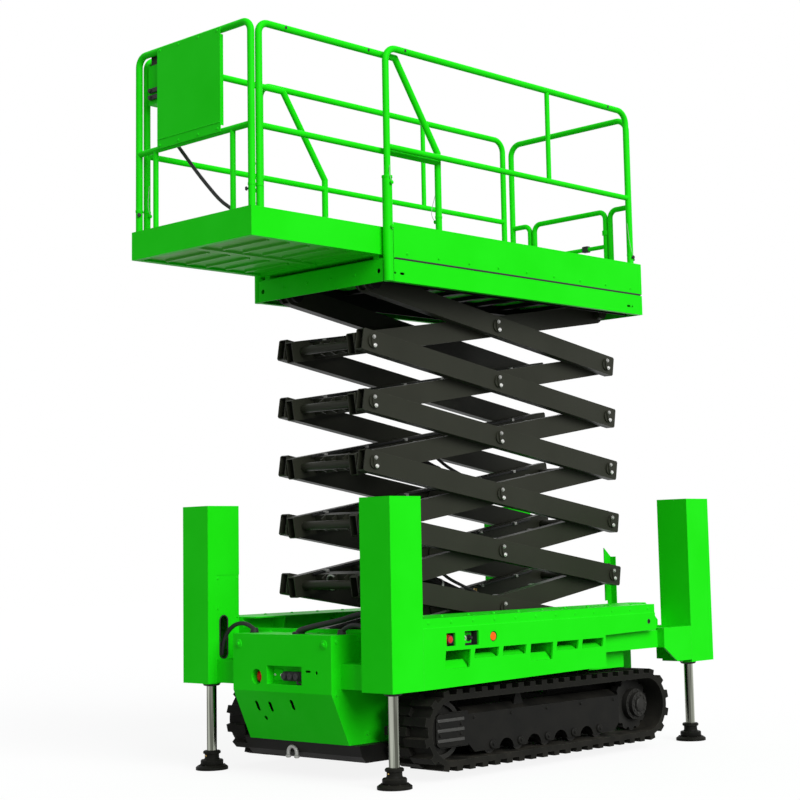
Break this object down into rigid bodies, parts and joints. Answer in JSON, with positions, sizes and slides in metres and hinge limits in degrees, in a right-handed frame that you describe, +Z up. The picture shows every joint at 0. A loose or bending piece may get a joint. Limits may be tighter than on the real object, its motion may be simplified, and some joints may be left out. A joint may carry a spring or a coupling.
{
  "type": "tracked scissor lift with outriggers",
  "caption": "Self-propelled scissor lift on rubber tracks with corner outriggers, a folding arm stack, a guarded deck with rear gate and a roll-out deck.",
  "frame": {"origin": "on the ground under the middle of the machine's overall box", "axes": "+X forward toward the roll-out deck and nose, +Y to the machine's left, +Z up"},
  "size_m": [3.4, 1.702, 4],
  "materials": {
    "green_paint": "gloss",
    "deck_plate": "satin",
    "arm_paint": "satin",
    "black_paint": "satin",
    "track_rubber": "matt",
    "wheel_steel": "matt",
    "chrome_rod": "polished",
    "foot_steel": "satin",
    "black_plastic": "matt",
    "cable_rubber": "matt"
  },
  "bodies": {
    "base": {"chassis": "green_paint", "nose_cover": "green_paint", "skirts": "green_paint", "undercarriage": "black_paint", "track_belts": "track_rubber", "track_wheels": "wheel_steel", "power_unit": "wheel_steel", "posts": "green_paint", "rear_upright": "green_paint", "ground_controls": "black_plastic", "leg_lines": "cable_rubber"},
    "leg_fl": {"leg_rod_fl": "chrome_rod", "foot_fl": "foot_steel"},
    "leg_fr": {"leg_rod_fr": "chrome_rod", "foot_fr": "foot_steel"},
    "leg_rl": {"leg_rod_rl": "chrome_rod", "foot_rl": "foot_steel"},
    "leg_rr": {"leg_rod_rr": "chrome_rod", "foot_rr": "foot_steel"},
    "inner_1": {"inner_arms_1": "arm_paint"},
    "outer_1": {"outer_arms_1": "arm_paint"},
    "inner_2": {"inner_arms_2": "arm_paint"},
    "outer_2": {"outer_arms_2": "arm_paint"},
    "inner_3": {"inner_arms_3": "arm_paint"},
    "outer_3": {"outer_arms_3": "arm_paint"},
    "inner_4": {"inner_arms_4": "arm_paint"},
    "outer_4": {"outer_arms_4": "arm_paint"},
    "inner_5": {"inner_arms_5": "arm_paint"},
    "outer_5": {"outer_arms_5": "arm_paint"},
    "inner_6": {"inner_arms_6": "arm_paint"},
    "outer_6": {"outer_arms_6": "arm_paint"},
    "barrel_1": {"lift_barrel_1": "black_paint"},
    "rod_1": {"lift_rod_1": "chrome_rod"},
    "barrel_2": {"lift_barrel_2": "black_paint"},
    "rod_2": {"lift_rod_2": "chrome_rod"},
    "platform": {"deck": "green_paint", "deck_joists": "black_paint", "kick_boards": "green_paint", "side_rails": "green_paint", "rear_rail": "green_paint"},
    "gate": {"gate": "green_paint"},
    "extension": {"ext_deck": "deck_plate", "ext_side_rails": "green_paint", "ext_front_rail": "green_paint", "control_shield": "green_paint", "control_box": "black_plastic", "floor_gland": "black_plastic", "control_cable": "cable_rubber"}
  },
  "joints": [
    {"name": "lift", "type": "hinge", "parent": "base", "child": "inner_1", "pos_m": [0.714, 0, 0.69], "axis": [0, 1, 0], "range_deg": [-5.5, 41]},
    {"name": "cross_1", "type": "hinge", "parent": "inner_1", "child": "outer_1", "pos_m": [-0.31765, 0, 0.8565], "axis": [0, 1, 0], "range_deg": [-82.5, 11.5]},
    {"name": "fold_2", "type": "hinge", "parent": "outer_1", "child": "inner_2", "pos_m": [0.714, 0, 1.023], "axis": [0, 1, 0], "range_deg": [-11.5, 82.5]},
    {"name": "cross_2", "type": "hinge", "parent": "inner_2", "child": "outer_2", "pos_m": [-0.31765, 0, 1.1895], "axis": [0, 1, 0], "range_deg": [-82.5, 11.5]},
    {"name": "fold_3", "type": "hinge", "parent": "outer_2", "child": "inner_3", "pos_m": [0.714, 0, 1.356], "axis": [0, 1, 0], "range_deg": [-11.5, 82.5]},
    {"name": "cross_3", "type": "hinge", "parent": "inner_3", "child": "outer_3", "pos_m": [-0.31765, 0, 1.5225], "axis": [0, 1, 0], "range_deg": [-82.5, 11.5]},
    {"name": "fold_4", "type": "hinge", "parent": "outer_3", "child": "inner_4", "pos_m": [0.714, 0, 1.689], "axis": [0, 1, 0], "range_deg": [-11.5, 82.5]},
    {"name": "cross_4", "type": "hinge", "parent": "inner_4", "child": "outer_4", "pos_m": [-0.31765, 0, 1.8555], "axis": [0, 1, 0], "range_deg": [-82.5, 11.5]},
    {"name": "fold_5", "type": "hinge", "parent": "outer_4", "child": "inner_5", "pos_m": [0.714, 0, 2.022], "axis": [0, 1, 0], "range_deg": [-11.5, 82.5]},
    {"name": "cross_5", "type": "hinge", "parent": "inner_5", "child": "outer_5", "pos_m": [-0.31765, 0, 2.1885], "axis": [0, 1, 0], "range_deg": [-82.5, 11.5]},
    {"name": "fold_6", "type": "hinge", "parent": "outer_5", "child": "inner_6", "pos_m": [0.714, 0, 2.355], "axis": [0, 1, 0], "range_deg": [-11.5, 82.5]},
    {"name": "cross_6", "type": "hinge", "parent": "inner_6", "child": "outer_6", "pos_m": [-0.31765, 0, 2.5215], "axis": [0, 1, 0], "range_deg": [-82.5, 11.5]},
    {"name": "deck_level", "type": "hinge", "parent": "outer_6", "child": "platform", "pos_m": [0.714, 0, 2.688], "axis": [0, 1, 0], "range_deg": [-6, 41.5]},
    {"name": "barrel_turn_1", "type": "hinge", "parent": "inner_1", "child": "barrel_1", "pos_m": [-0.52561, 0, 0.85461], "axis": [0, 1, 0], "range_deg": [-89, 12.5]},
    {"name": "rod_stroke_1", "type": "slide", "parent": "barrel_1", "child": "rod_1", "axis": [0.9426, 0, 0.3338], "range_m": [-0.07, 0.48]},
    {"name": "barrel_turn_2", "type": "hinge", "parent": "inner_3", "child": "barrel_2", "pos_m": [-0.52561, 0, 1.52061], "axis": [0, 1, 0], "range_deg": [-89, 12.5]},
    {"name": "rod_stroke_2", "type": "slide", "parent": "barrel_2", "child": "rod_2", "axis": [0.9426, 0, 0.3338], "range_m": [-0.07, 0.48]},
    {"name": "roll_out", "type": "slide", "parent": "platform", "child": "extension", "axis": [1, 0, 0], "range_m": [-0.9, 0]},
    {"name": "gate_swing", "type": "hinge", "parent": "platform", "child": "gate", "pos_m": [-1.455, 0.305, 3], "axis": [0, 0, 1], "range_deg": [0, 90]},
    {"name": "leg_fl_slide", "type": "slide", "parent": "base", "child": "leg_fl", "axis": [0, 0, -1], "range_m": [-0.35, 0.15]},
    {"name": "leg_fr_slide", "type": "slide", "parent": "base", "child": "leg_fr", "axis": [0, 0, -1], "range_m": [-0.35, 0.15]},
    {"name": "leg_rl_slide", "type": "slide", "parent": "base", "child": "leg_rl", "axis": [0, 0, -1], "range_m": [-0.35, 0.15]},
    {"name": "leg_rr_slide", "type": "slide", "parent": "base", "child": "leg_rr", "axis": [0, 0, -1], "range_m": [-0.35, 0.15]}
  ],
  "couplings": [
    {"joint": "cross_1", "follows": "lift", "ratio": -2},
    {"joint": "fold_2", "follows": "lift", "ratio": 2},
    {"joint": "cross_2", "follows": "lift", "ratio": -2},
    {"joint": "fold_3", "follows": "lift", "ratio": 2},
    {"joint": "cross_3", "follows": "lift", "ratio": -2},
    {"joint": "fold_4", "follows": "lift", "ratio": 2},
    {"joint": "cross_4", "follows": "lift", "ratio": -2},
    {"joint": "fold_5", "follows": "lift", "ratio": 2},
    {"joint": "cross_5", "follows": "lift", "ratio": -2},
    {"joint": "fold_6", "follows": "lift", "ratio": 2},
    {"joint": "cross_6", "follows": "lift", "ratio": -2},
    {"joint": "deck_level", "follows": "lift", "ratio": 1},
    {"joint": "barrel_turn_1", "follows": "lift", "ratio": -2.1501},
    {"joint": "rod_stroke_1", "follows": "lift", "m_per_rad": 0.61863},
    {"joint": "barrel_turn_2", "follows": "lift", "ratio": -2.1501},
    {"joint": "rod_stroke_2", "follows": "lift", "m_per_rad": 0.61863}
  ]
}
